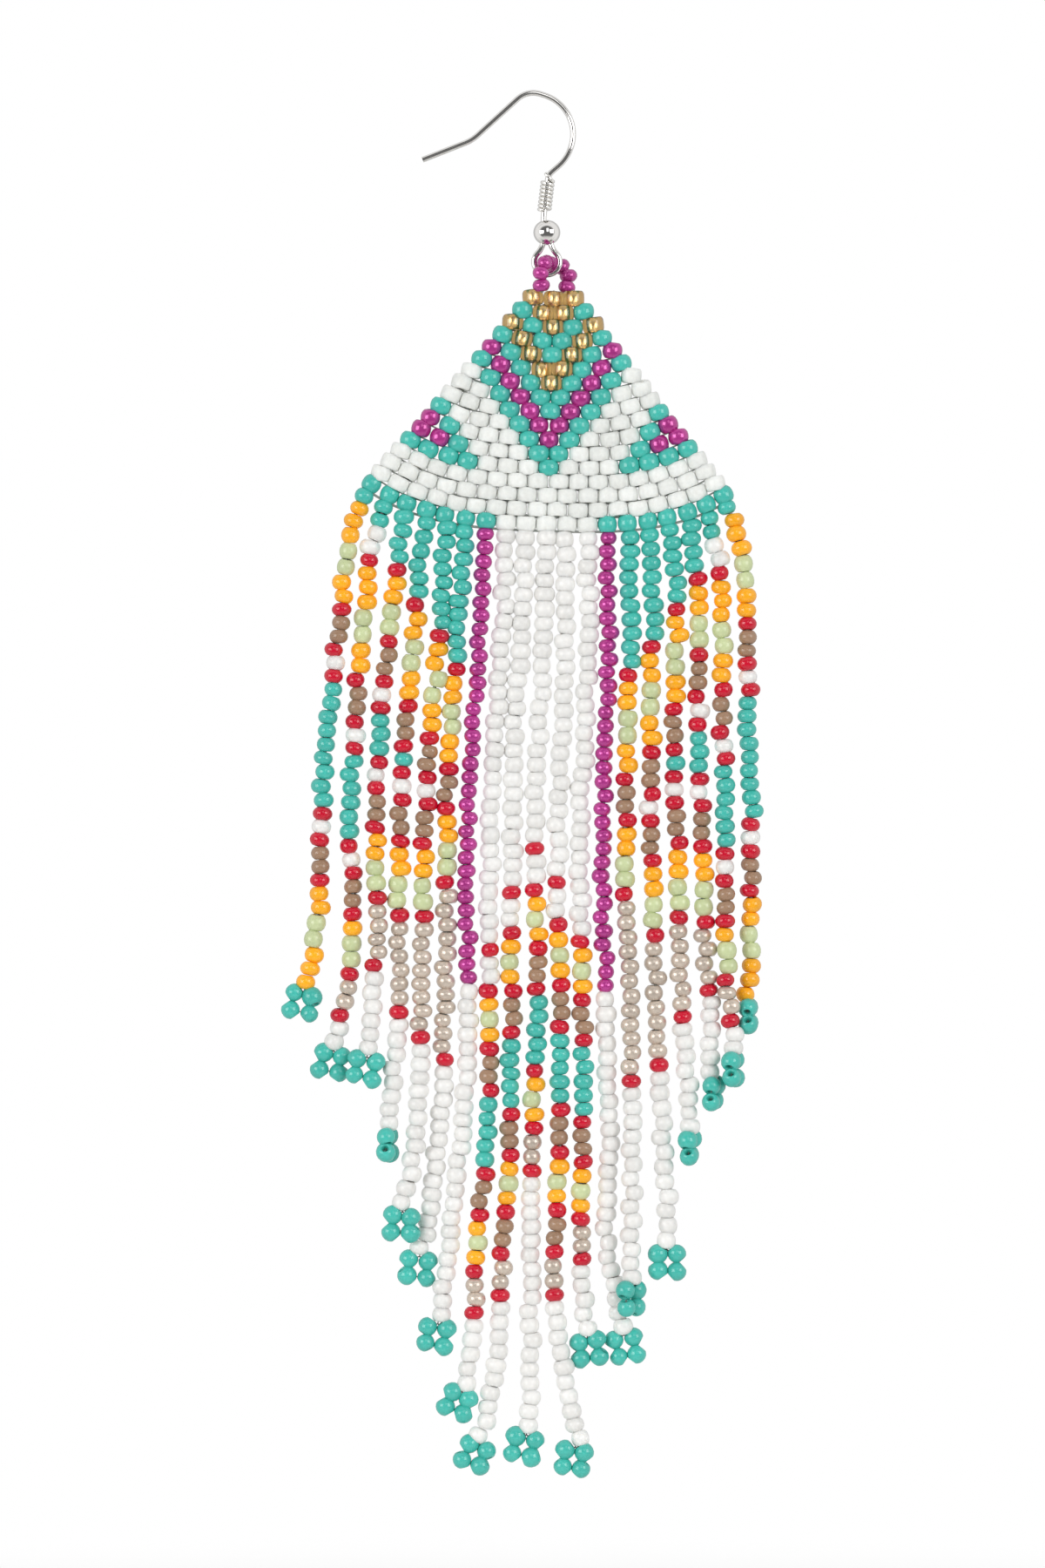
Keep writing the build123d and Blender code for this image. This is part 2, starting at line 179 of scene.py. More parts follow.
# The strings' routes, as in the model: how far each end stands behind the panel in millimetres,
# the turn and the roll of its picot in degrees, and the way down in columns across and rows down
STRINGS = [
    # end depth, picot turn, picot roll, route
    (0.0, 0, -11, [(-0.77, 1.8), (-1.23, 4.7), (-1.61, 10.8), (-2.26, 17.6), (-2.48, 24.1), (-2.52, 30.6),
                   (-3.23, 35.5)]),
    (0.8, 0, -12, [(-0.58, 2.1), (-0.97, 5.7), (-1.34, 10.8), (-1.71, 17.3), (-1.94, 24.7), (-1.65, 31.7),
                   (-2.13, 35.9), (-2.65, 39.0)]),
    (-0.9, 0, -10, [(-0.29, 2.2), (-0.58, 5.8), (-1.03, 10.9), (-1.45, 16.9), (-1.58, 24.3), (-1.45, 32.2),
                    (-1.90, 38.8)]),
    (0.0, 80, 0, [(-0.23, 2.7), (-0.45, 7.2), (-0.90, 13.2), (-1.26, 20.2), (-1.42, 27.1), (-1.26, 34.6),
                  (-1.55, 39.7), (-1.94, 43.7)]),
    (-0.8, 0, -6, [(-0.10, 4.3), (-0.44, 10.6), (-0.90, 17.6), (-1.10, 25.0), (-1.23, 32.9), (-1.26, 40.8),
                   (-1.58, 45.9), (-2.10, 49.0)]),
    (0.8, 0, -8, [(-0.17, 4.3), (-0.56, 11.2), (-0.91, 19.1), (-0.94, 27.0), (-1.04, 34.5), (-1.20, 41.4),
                  (-1.55, 47.6), (-2.23, 52.0)]),
    (0.0, 0, -10, [(-0.17, 5.0), (-0.55, 13.4), (-1.04, 22.7), (-0.88, 30.6), (-0.85, 38.0), (-1.26, 45.4),
                   (-1.72, 51.2), (-2.30, 56.6)]),
    (0.0, 0, -24, [(-0.08, 5.5), (-0.50, 13.8), (-0.88, 23.6), (-0.79, 33.4), (-0.85, 43.1), (-1.46, 51.0),
                   (-1.59, 57.3), (-1.98, 61.4)]),
    (0.0, 0, -20, [(-0.10, 5.9), (-0.58, 15.2), (-0.75, 24.5), (-0.69, 34.3), (-0.77, 44.1), (-1.26, 52.9),
                   (-1.39, 59.4), (-2.19, 65.0)]),
    (0.0, 0, -15, [(-0.03, 5.9), (-0.42, 14.3), (-0.61, 23.1), (-0.39, 32.4), (-0.55, 41.7), (-0.84, 51.0),
                   (-0.77, 58.5), (-0.88, 64.3)]),
    (-0.4, 0, -9, [(-0.03, 6.0), (-0.23, 15.3), (-0.55, 24.2), (-0.35, 33.9), (-0.29, 43.7), (-0.68, 52.2),
                   (-0.39, 59.5), (0.49, 65.1)]),
    (0.3, 0, 8, [(0.12, 4.9), (-0.04, 13.8), (-0.36, 23.0), (-0.20, 32.3), (-0.14, 41.6), (-0.39, 50.0),
                 (-0.04, 57.3)]),
    (1.0, 0, 12, [(0.10, 4.7), (0.00, 13.1), (-0.26, 21.9), (-0.06, 31.2), (-0.03, 38.7), (0.16, 45.0),
                  (-0.19, 51.3), (0.71, 57.2)]),
    (-1.2, 55, 0, [(0.18, 4.6), (0.08, 11.9), (-0.14, 21.2), (0.02, 30.9), (0.31, 40.7), (0.18, 48.1),
                   (0.15, 53.7)]),
    (0.0, 0, 0, [(0.29, 4.1), (0.20, 11.3), (0.14, 20.6), (0.35, 29.9), (0.48, 38.3), (0.87, 45.3),
                 (0.97, 51.3)]),
    (0.0, 80, 0, [(0.43, 4.1), (0.44, 9.7), (0.28, 16.6), (0.50, 24.1), (0.57, 30.1), (0.80, 37.1),
                  (1.08, 43.4)]),
    (0.0, 80, 0, [(0.45, 2.9), (0.63, 7.3), (0.54, 14.8), (0.75, 22.7), (0.87, 30.6), (1.19, 35.7),
                  (1.26, 39.9)]),
    (-1.0, 80, 0, [(0.65, 3.1), (0.85, 8.1), (0.79, 14.9), (0.98, 22.8), (1.01, 30.2), (1.06, 34.7),
                   (1.33, 38.7)]),
    (1.2, 88, 0, [(0.73, 2.7), (1.17, 7.0), (1.15, 14.1), (1.34, 21.5), (1.37, 28.8), (1.25, 35.6)]),
]

# The loop's way over the eye's wire, in shares of the foot spread, the reach and the rise
LOOP_ROUTE = [
    (-0.33, -1.09, 0.0), (-0.08, -0.98, 0.97), (0.05, 1.34, 0.94), (0.88, 1.42, 0.64), (0.96, 0.92, -0.21),
]


def linear(colour):
    """A hex colour as linear red, green, blue and a full alpha."""
    shares = [int(colour[start:start + 2], 16) / 255 for start in (1, 3, 5)]
    return tuple(s / 12.92 if s <= 0.04045 else ((s + 0.055) / 1.055) ** 2.4 for s in shares) + (1.0,)


def add_node(tree, kind, inputs=None, **settings):
    """Adds a node with its settings; an input is a value, or the output that is linked to it."""
    made = tree.nodes.new(kind)
    for name, value in settings.items():
        setattr(made, name, value)
    for name, value in (inputs or {}).items():
        if isinstance(value, bpy.types.NodeSocket):
            tree.links.new(value, made.inputs[name])
        else:
            made.inputs[name].default_value = value
    return made


def new_material(name):
    """An empty material and its tree."""
    material = bpy.data.materials.new(name)
    material.use_nodes = True
    material.node_tree.nodes.clear()
    return material, material.node_tree


def finish_material(material, tree, shader, inside=None):
    """The material with its surface and, where it is clear, what light passes through inside it."""
    sockets = {"Surface": shader.outputs[0]}
    if inside:
        sockets["Volume"] = inside.outputs[0]
    add_node(tree, "ShaderNodeOutputMaterial", sockets)
    return material


def bead_tones(tree, colour, bead_change, cloud_change, cloud_size):
    """A glass colour that differs a little from bead to bead, and in soft clouds within each."""
    bead = add_node(tree, "ShaderNodeAttribute", attribute_name="bead_tone")
    place = add_node(tree, "ShaderNodeTexCoord")
    cloud = add_node(tree, "ShaderNodeTexNoise", {
        "Vector": place.outputs["Object"], "Scale": 1 / cloud_size, "Detail": 2.0, "Roughness": 0.55,
    })
    clouded = add_node(tree, "ShaderNodeMapRange", {
        "Value": cloud.outputs["Fac"], "From Min": 0.3, "From Max": 0.7,
        "To Min": 1 - cloud_change, "To Max": 1 + cloud_change,
    })
    value = add_node(tree, "ShaderNodeMath", {
        0: bead.outputs["Fac"], 1: bead_change, 2: clouded.outputs["Result"],
    }, operation="MULTIPLY_ADD")
    return add_node(tree, "ShaderNodeHueSaturation", {"Color": linear(colour), "Value": value.outputs[0]})


def tumbled_skin(tree, grit, height):
    """The faint unevenness that tumbling in a hot drum leaves on cut glass."""
    place = add_node(tree, "ShaderNodeTexCoord")
    grain = add_node(tree, "ShaderNodeTexNoise", {
        "Vector": place.outputs["Object"], "Scale": 1 / grit, "Detail": 3.0,
    })
    return add_node(tree, "ShaderNodeBump", {
        "Height": grain.outputs["Fac"], "Strength": 0.6, "Distance": height,
    })


def opaque_glass(name, colour, roughness=0.17, **glass):
    """Opaque soda-lime glass, drawn, cut and fire-tumbled.
    The eye gets an even strong colour under a smooth skin, with small soft lights near the bead's middle."""
    material, tree = new_material(name)
    tone = bead_tones(tree, colour, bead_change=0.06, cloud_change=0.05, cloud_size=0.45 * MM)
    skin = tumbled_skin(tree, grit=0.22 * MM, height=0.005 * MM)
    shader = add_node(tree, "ShaderNodeBsdfPrincipled", {
        "Base Color": tone.outputs["Color"], "Roughness": roughness, "IOR": 1.52, "Normal": skin.outputs[0],
        **glass,
    })
    return finish_material(material, tree, shader)


def alabaster_glass(name, colour, depth, roughness):
    """White glass that light enters a little way before it comes back.
    The eye gets soft shades with no hard edge between the beads' bright and dark sides."""
    return opaque_glass(name, colour, roughness, **{
        "Subsurface Weight": 0.60, "Subsurface Radius": (1.0, 0.95, 0.9), "Subsurface Scale": depth,
    })


def pearl_glass(name, colour, roughness, lustre):
    """Glass with a fired-on pearl skin.
    The eye gets a broad satin light in the middle of each bead and a deeper colour at its edges."""
    material, tree = new_material(name)
    tone = bead_tones(tree, colour, bead_change=0.10, cloud_change=0.06, cloud_size=0.30 * MM)
    skin = tumbled_skin(tree, grit=0.18 * MM, height=0.005 * MM)
    shader = add_node(tree, "ShaderNodeBsdfPrincipled", {
        "Base Color": tone.outputs["Color"], "Metallic": lustre, "Roughness": roughness, "IOR": 1.52,
        "Coat Weight": 0.4, "Coat Roughness": 0.12, "Normal": skin.outputs[0],
    })
    return finish_material(material, tree, shader)


def amber_glass():
    """Clear amber glass round a silvered hole.
    The eye gets a bright streak down the middle and dark honey sides, where it looks through more glass."""
    material, tree = new_material("silver_lined_amber_glass")
    tone = bead_tones(tree, "#F3E4BF", bead_change=0.05, cloud_change=0.03, cloud_size=0.6 * MM)
    shader = add_node(tree, "ShaderNodeBsdfPrincipled", {
        "Base Color": tone.outputs["Color"], "Roughness": 0.04, "IOR": 1.52, "Transmission Weight": 1.0,
    })
    # Two fifths of the blue are gone after 1 mm of this glass
    honey = add_node(tree, "ShaderNodeVolumeAbsorption", {"Color": linear("#F4E1B2"), "Density": 1.0 / MM})
    return finish_material(material, tree, shader, inside=honey)


def silver_lining():
    """Silver leaf fired inside the bead's hole.
    The eye gets a broken bright reflection, because the hole's wall isn't quite smooth."""
    material, tree = new_material("fired_silver_lining")
    skin = tumbled_skin(tree, grit=0.40 * MM, height=0.002 * MM)
    shader = add_node(tree, "ShaderNodeBsdfPrincipled", {
        "Base Color": linear("#FFF8EA"), "Metallic": 1.0, "Roughness": 0.26, "Normal": skin.outputs[0],
    })
    return finish_material(material, tree, shader)


def plated_steel(name, colour, roughness, grain, height):
    """Steel, drawn to wire or rolled to a ball, polished and plated bright.
    The eye gets sharp light and dark bands, softened a little by fine marks from the die or the polish."""
    material, tree = new_material(name)
    place = add_node(tree, "ShaderNodeTexCoord")
    marks = add_node(tree, "ShaderNodeTexNoise", {
        "Vector": place.outputs["Object"], "Scale": 1 / grain, "Detail": 4.0,
    })
    dulled = add_node(tree, "ShaderNodeMapRange", {
        "Value": marks.outputs["Fac"], "To Min": roughness * 0.6, "To Max": roughness * 1.4,
    })
    bump = add_node(tree, "ShaderNodeBump", {
        "Height": marks.outputs["Fac"], "Strength": 0.4, "Distance": height,
    })
    shader = add_node(tree, "ShaderNodeBsdfPrincipled", {
        "Base Color": linear(colour), "Metallic": 1.0, "Roughness": dulled.outputs["Result"],
        "Normal": bump.outputs[0],
    })
    return finish_material(material, tree, shader)


def nylon_thread():
    """Bonded nylon beading thread.
    The eye gets a fine grey line with a faint twist and a dull silky light. Its grey is darker than the
    nylon itself: painted shade that deepens the seams between the woven beads and the line under the last
    row."""
    material, tree = new_material("nylon_thread_with_painted_seam_shade")
    place = add_node(tree, "ShaderNodeTexCoord")
    twist = add_node(tree, "ShaderNodeTexWave", {
        "Vector": place.outputs["Object"], "Scale": 1 / (1.5 * MM), "Distortion": 2.0,
    }, bands_direction="DIAGONAL")
    bump = add_node(tree, "ShaderNodeBump", {
        "Height": twist.outputs["Fac"], "Strength": 0.5, "Distance": 0.02 * MM,
    })
    shader = add_node(tree, "ShaderNodeBsdfPrincipled", {
        # The base colour is darker than the nylon's own: painted shade, so that the thread darkens the seams
        # between the woven beads.
        "Base Color": linear("#90958F"), "Roughness": 0.5, "IOR": 1.53, "Sheen Weight": 0.3,
        "Normal": bump.outputs[0],
    })
    return finish_material(material, tree, shader)


FINISHES = {
    "T": opaque_glass("turquoise_glass", "#46BAAD"),
    "P": pearl_glass("purple_lustre_glass", "#B8368F", roughness=0.22, lustre=0.30),
    "O": opaque_glass("orange_glass", "#FFB11E"),
    "G": opaque_glass("pale_green_glass", "#C8D3A2", roughness=0.24),
    "R": opaque_glass("red_glass", "#CA0F2F", roughness=0.14),
    "B": opaque_glass("taupe_glass", "#A18168", roughness=0.22),
    "N": pearl_glass("champagne_pearl_glass", "#CDBFB1", roughness=0.30, lustre=0.35),
    "V": alabaster_glass("alabaster_white_glass", "#E9E8E5", depth=0.9 * MM, roughness=0.28),
    "W": alabaster_glass("chalk_white_glass", "#E7E9E5", depth=0.8 * MM, roughness=0.42),
    "A": amber_glass(),
    "lining": silver_lining(),
    "thread": nylon_thread(),
    "wire": plated_steel("bright_plated_wire", "#E2E0DD", 0.12, grain=0.25 * MM, height=0.001 * MM),
    "coil": plated_steel("fine_plated_wire", "#E8E6E2", 0.14, grain=0.20 * MM, height=0.0005 * MM),
    "ball": plated_steel("polished_plated_ball", "#E8E6E3", 0.05, grain=0.80 * MM, height=0.001 * MM),
}

# A drilled bead's outside as angles from its middle, and how its hole's lip and its shoulder are
# rounded, as shares of half its length and half its width
OUTER_ANGLES = [radians(angle) for angle in (-78, -58, -36, -12, 12, 36, 58, 78)]
LIP_START, LIP_MIDDLE = 0.78, 0.94
LIP_FLARE, SHOULDER = 0.06, 0.10


def bead_section(taper, power, hole=0.34):
    """A drilled bead's section from one end of its hole, round the outside and back to it, in shares of
    half its width and half its length. It narrows by the taper towards the ends, the later the higher
    the power."""
    outside = [(1 - taper * abs(sin(a)) ** power, sin(a)) for a in OUTER_ANGLES]
    end = [(hole, LIP_START), (hole + LIP_FLARE, LIP_MIDDLE), (outside[-1][0] - SHOULDER, 1.0)]
    return np.array([(across, -up) for across, up in end] + outside + end[::-1])


# Each glass rounds off in its own way when the cut beads are tumbled
SECTIONS = {
    "T": bead_section(taper=0.42, power=2.5), "O": bead_section(taper=0.42, power=2.5),
    "R": bead_section(taper=0.44, power=2.4), "B": bead_section(taper=0.43, power=2.4),
    "G": bead_section(taper=0.39, power=2.6), "N": bead_section(taper=0.42, power=2.4),
    "P": bead_section(taper=0.47, power=2.3), "V": bead_section(taper=0.37, power=2.6),
    "W": bead_section(taper=0.19, power=4.0), "A": bead_section(taper=0.22, power=4.6, hole=0.50),
    "round": bead_section(taper=0.45, power=2.6), "oval": bead_section(taper=0.36, power=2.9),
    "narrow hole": bead_section(taper=0.44, power=2.3, hole=0.18),
}
RINGS = len(SECTIONS["T"])


class Piece:
    """Gathers beads and threads, and makes one mesh object of them."""

    def __init__(self):
        self.points, self.faces, self.kinds, self.tones, self.count = [], [], [], [], 0

    def add(self, points, faces, kinds, tone):
        self.points.append(points)
        self.faces.append(faces + self.count)
        self.kinds.append(kinds)
        self.tones.append(np.full(len(points), tone))
        self.count += len(points)

    def bead(self, place, along, colour, width, length, shape=None):
        """A bead with its hole along a direction."""
        section = SECTIONS[shape or colour]
        angles = np.arange(BEAD_SIDES) * 2 * pi / BEAD_SIDES + chance.uniform(0, 1)
        across = section[:, :1] * width / 2
        local = np.stack([
            across * np.cos(angles), across * np.sin(angles),
            np.repeat(section[:, 1:] * length / 2, BEAD_SIDES, axis=1),
        ], axis=-1).reshape(-1, 3)
        local[:, 2] += local[:, 0] * chance.uniform(-CUT_SLANT, CUT_SLANT)
        turned = np.array(Vector(along).to_track_quat("Z", "Y").to_matrix())
        ring, side = np.meshgrid(np.arange(RINGS), np.arange(BEAD_SIDES), indexing="ij")
        ring_next, side_next = (ring + 1) % RINGS, (side + 1) % BEAD_SIDES
        faces = np.stack([ring * BEAD_SIDES + side, ring * BEAD_SIDES + side_next,
                          ring_next * BEAD_SIDES + side_next, ring_next * BEAD_SIDES + side],
                         axis=-1).reshape(-1, 4)
        in_hole = (ring == RINGS - 1).reshape(-1)
        kinds = np.where(in_hole & (colour == "A"), "lining", colour)
        self.add(local @ turned.T + np.array(place), faces, kinds, chance.uniform(-1, 1))

    def tube(self, line, width, kind, sides=8):
        """A thread or wire with rounded ends along a line of points."""
        line = [Vector(p) for p in line]
        first, last = (line[0] - line[1]).normalized(), (line[-1] - line[-2]).normalized()
        reaches, narrowing = zip(*ROUNDED_END)
        girths = [*reversed(narrowing), *[1.0] * len(line), *narrowing]
        line = [*(line[0] + first * width * reach for reach in reversed(reaches)), *line,
                *(line[-1] + last * width * reach for reach in reaches)]
        rings, side_way = [], first.orthogonal()
        for index, (point, girth) in enumerate(zip(line, girths)):
            along = (line[min(index + 1, len(line) - 1)] - line[max(index - 1, 0)]).normalized()
            side_way = (side_way - along * side_way.dot(along)).normalized()
            other_way = along.cross(side_way)
            turns = [2 * pi * side / sides for side in range(sides)]
            rings.append([
                point + (side_way * cos(turn) + other_way * sin(turn)) * girth * width / 2 for turn in turns
            ])
        faces = [
            (low + s, low + (s + 1) % sides, low + sides + (s + 1) % sides, low + sides + s)
            for low in range(0, (len(line) - 1) * sides, sides) for s in range(sides)
        ]
        self.add(np.array(rings).reshape(-1, 3), np.array(faces), np.full(len(faces), kind), 0.0)

    def make(self, name, body, replaced):
        """The mesh object, riding on its body in place of its solid."""
        points, faces = np.concatenate(self.points), np.concatenate(self.faces)
        kinds = np.concatenate(self.kinds)
        mesh = bpy.data.meshes.new(name)
        mesh.vertices.add(len(points))
        mesh.vertices.foreach_set("co", points.astype(np.float32).ravel())
        mesh.loops.add(faces.size)
        mesh.loops.foreach_set("vertex_index", faces.astype(np.int32).ravel())
        mesh.polygons.add(len(faces))
        mesh.polygons.foreach_set("loop_start", np.arange(0, faces.size, 4, dtype=np.int32))
        used = sorted(set(kinds))
        for kind in used:
            mesh.materials.append(FINISHES[kind])
        mesh.polygons.foreach_set("material_index", np.searchsorted(used, kinds).astype(np.int32))
        mesh.polygons.foreach_set("use_smooth", np.ones(len(faces), dtype=bool))
        tone = mesh.attributes.new("bead_tone", "FLOAT", "POINT")
        tone.data.foreach_set("value", np.concatenate(self.tones).astype(np.float32))
        mesh.update(calc_edges=True)
        mesh.validate()
        made = bpy.data.objects.new(name, mesh)
        bpy.context.scene.collection.objects.link(made)
        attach(made, body)
        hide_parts(*replaced)


# A quadratic curve, and its points on each of its parts
CURVE_ORDER, CURVE_STEPS = 3, 24


def flowing_line(route):
    """Points close together on the smooth line that a route's points steer."""
    curve = bpy.data.curves.new("route", "CURVE")
    curve.dimensions = "3D"
    spline = curve.splines.new("NURBS")
    spline.points.add(len(route) - 1)
    for control, point in zip(spline.points, route):
        control.co = (*point, 1)
    spline.order_u = CURVE_ORDER
    spline.use_endpoint_u = True
    spline.resolution_u = CURVE_STEPS
    holder = bpy.data.objects.new("route", curve)
    mesh = bpy.data.meshes.new_from_object(holder)
    line = np.array([vertex.co for vertex in mesh.vertices])
    bpy.data.objects.remove(holder)
    bpy.data.curves.remove(curve)
    bpy.data.meshes.remove(mesh)
    return line


def places_along(line, distances):
    """Points and directions at distances along a line, given as shares of its length, and that length."""
    steps = np.linalg.norm(np.diff(line, axis=0), axis=1)
    gone = np.concatenate([[0], np.cumsum(steps)])
    wanted = np.asarray(distances) * gone[-1]
    near = gone[-1] / 5000
    point, ahead, behind = (
        np.stack([np.interp(wanted + shift, gone, line[:, axis]) for axis in range(3)], axis=-1)
        for shift in (0, near, -near)
    )
    return point, ahead - behind, gone[-1]


def read_chart(chart):
    """A chart such as "T2 O3" as one letter for each bead."""
    return "".join(part[0] * int(part[1:] or 1) for part in chart.split())


# The woven triangle
seat = Vector(frame["joints"][0]["pos_m"])
panel_origin = seat + Vector((PANEL_SHIFT, 0, -PANEL_DROP))
panel_across = Vector((cos(PANEL_TILT), 0, -sin(PANEL_TILT)))
panel_up = Vector((sin(PANEL_TILT), 0, cos(PANEL_TILT)))


def half_span(row):
    """From a row's middle to the centre of its last bead."""
    return (FIRST_ROW_BEADS + row - 2) / 2 * COLUMN_STEP


LAST_HALF_SPAN = half_span(ROW_COUNT)


def row_bead(row, along):
    """The place of a woven bead, so far along its row, and the direction of its hole."""
    rise = END_RISE * (half_span(row) / LAST_HALF_SPAN) ** RISE_GROWTH
    steepness = rise / half_span(row)
    share = abs(along) / half_span(row)
    slope = RISE_CURL * steepness * share ** (RISE_CURL - 1) * (1 if along > 0 else -1)
    across = along * (1 - RISE_CURL**2 / (4 * RISE_CURL - 2) * steepness**2 * share ** (2 * RISE_CURL - 2))
    up = rise * share**RISE_CURL - (row - 1) * ROW_STEP
    place = panel_origin + panel_across * across + panel_up * up
    hole = (panel_up - panel_across * slope).normalized()
    return place, hole


def leaning(direction, sideways, depthways):
    """A direction turned a little in the panel's plane and out of it."""
    return (direction + panel_across * tan(sideways) + Vector((0, 1, 0)) * tan(depthways)).normalized()


woven = Piece()
for row, chart in enumerate(PANEL_CHART, 1):
    colours = read_chart(chart)
    for column, colour in enumerate(colours):
        along = column * COLUMN_STEP - half_span(row)
        place, hole = row_bead(row, along)
        lean = chance.gauss(0, WOVEN_LEAN)
        if column in (0, len(colours) - 1) and row < ROW_COUNT:
            lean += (-EDGE_LEAN if column else EDGE_LEAN) * (0.5 + chance.random())
        hole = leaning(hole, -lean, chance.gauss(0, WOVEN_NOD))
        place += panel_across * chance.gauss(0, WOVEN_SHIFT) + Vector((0, chance.gauss(0, WOVEN_STAND), 0))
        width, length = WOVEN_SIZE[colour]
        if colour == "T" and row == ROW_COUNT:
            width *= LAST_ROW_GIRTH
        if colour in "TP":
            place += Vector((0, chance.gauss(0, WOVEN_STAND), 0))
        width *= 1 + chance.gauss(0, WOVEN_WIDTH_SPREAD)
        length *= 1 + chance.gauss(0, WOVEN_LENGTH_SPREAD)
        woven.bead(place, hole, colour, width, length, shape="oval" if colour in "TP" else None)
for row in range(1, ROW_COUNT + 1):
    # Under each row the thread loops from hole to hole, and the next row hangs on these loops
    loops = []
    for share in np.linspace(-1, 1, 2 * (FIRST_ROW_BEADS + row) - 3):
        place, hole = row_bead(row, share * half_span(row))
        side = -1 if len(loops) % 2 else 1
        loops.append(place - hole * ROW_STEP * ROW_THREAD_DROP + Vector((0, side * ROW_THREAD_DEPTH, 0)))
    woven.tube(loops, ROW_THREAD_WIDTH if row < ROW_COUNT else LAST_THREAD_WIDTH, "thread", sides=6)
    for column in range(FIRST_ROW_BEADS + row - 1):
        place, hole = row_bead(row, column * COLUMN_STEP - half_span(row))
        in_hole = hole * HOLE_THREAD_REACH
        woven.tube([place - in_hole, place + in_hole], STRING_THREAD_WIDTH, "thread", sides=6)
woven.make("woven_triangle", "drop", ["bead_panel"])


def hang_string(number, column, end_depth, drops, chart):
    """One string of the fringe, from under its woven bead to the bead above its picot."""
    woven_place, _ = row_bead(ROW_COUNT, column * COLUMN_STEP - LAST_HALF_SPAN)
    route = [woven_place]
    for across, down in drops:
        depth = end_depth * MM * (down / drops[-1][1]) ** 2
        route.append(woven_place + Vector((across * COLUMN_STEP, depth, -down * ROW_STEP)))
    line = flowing_line(route)
    colours = read_chart(chart)
    room = np.array([
        BEAD_ROOM[colour] * (SHORT_WHITE if before + colour == "RV" else 1)
        * (1 + chance.gauss(0, STRING_ROOM_SPREAD))
        for before, colour in zip(" " + colours, colours)
    ])
    centres = np.concatenate([[0], np.cumsum((room[:-1] + room[1:]) / 2)])
    places, ways, length = places_along(line, centres / centres[-1])
    string = Piece()
    for index in range(1, len(colours)):
        colour = colours[index]
        shift = Vector((chance.gauss(0, STRING_SHIFT), chance.gauss(0, STRING_STAND), 0))
        turn = Vector((chance.gauss(0, STRING_LEAN), chance.gauss(0, STRING_NOD), 0))
        way = Vector(ways[index]).normalized() + turn
        width = BEAD_WIDTH * BEAD_GIRTH[colour] * (1 + chance.gauss(0, STRING_WIDTH_SPREAD))
        bead_length = room[index] / centres[-1] * length * (WHITE_TOUCH if colour == "V" else TOUCH)
        string.bead(Vector(places[index]) + shift, way, colour, width, bead_length)
    string.tube(line[::STRING_THREAD_STRIDE], STRING_THREAD_WIDTH, "thread")
    string.make(f"string_{number:02d}_beads", "drop", [f"strand_{number:02d}"])
    return route[-1]


def tie_picot(number, end, turn, roll):
    """The four turquoise beads that close a string, and the thread that runs round through them."""
    across = Vector((cos(turn) * cos(roll), sin(turn) * cos(roll), sin(roll)))
    out = Vector((sin(turn), -cos(turn), 0))
    up = out.cross(across)
    middle = end - up * PICOT_DROP
    picot = Piece()
    ring = []
    for side, height in ((-1, 1), (-1, -1), (1, -1), (1, 1)):
        place = middle + across * side * PICOT_WIDTH / 2 + up * height * PICOT_HEIGHT / 2
        place += across * chance.gauss(0, PICOT_SHIFT) + up * chance.gauss(0, PICOT_SHIFT)
        place += out * chance.gauss(0, PICOT_STAND)
        # The holes follow the thread's ring
        along = across * height - up * side
        along += out * chance.gauss(0, PICOT_NOD) + across * chance.gauss(0, PICOT_LEAN)
        width = BEAD_WIDTH * PICOT_GIRTH * (1 + chance.gauss(0, PICOT_WIDTH_SPREAD))
        picot.bead(place, along.normalized(), "T", width, width * PICOT_LENGTH, shape="round")
        ring.append(place)
    above = end - up * BEAD_WIDTH / 2
    picot.tube([end, above, *ring, above], PICOT_THREAD_WIDTH, "thread")
    picot.make(f"picot_{number:02d}_beads", "drop", [f"picot_{number:02d}"])


for column, ((end_depth, turn, roll, drops), chart) in enumerate(zip(STRINGS, STRING_CHART)):
    end = hang_string(column + 1, column, end_depth, drops, chart)
    tie_picot(column + 1, end, radians(turn), radians(roll))


# The hanging loop, whose feet stand on the panel's first row
feet = [
    panel_origin + panel_across * side * LOOP_FOOT_SPREAD / 2 + panel_up * LOOP_FOOT_HEIGHT
    + Vector((0, side * LOOP_FOOT_REACH, 0))
    for side in (-1, 1)
]
over_wire = [
    seat + Vector((across * LOOP_FOOT_SPREAD, away * LOOP_REACH, up * LOOP_RISE))
    for across, away, up in LOOP_ROUTE
]
loop_line = flowing_line([feet[0], *over_wire, feet[1]])
loop = Piece()
shares = (np.arange(len(LOOP_GIRTHS)) + 0.5) / len(LOOP_GIRTHS)
places, ways, length = places_along(loop_line, shares)
for place, way, girth in zip(places, ways, LOOP_GIRTHS):
    # Loose on the thread, a bead tips over where it turns back through the eye
    tipped = Vector((way[0], way[1] * LOOP_TIP, way[2])).normalized()
    loop.bead(place, tipped, "P", BEAD_WIDTH * girth, length / len(LOOP_GIRTHS) * TOUCH, shape="narrow hole")
loop.tube(loop_line[::LOOP_THREAD_STRIDE], STRING_THREAD_WIDTH, "thread")
loop.make("hanging_loop_beads", "drop", ["hanging_loop"])


# The ear hook
def dress_node(name, finish):
    """Gives a node of the model its finish."""
    node = frame["nodes"][name]
    node.data.materials.clear()
    node.data.materials.append(finish)


dress_node("ear_wire", FINISHES["wire"])
dress_node("ear_ball", FINISHES["ball"])

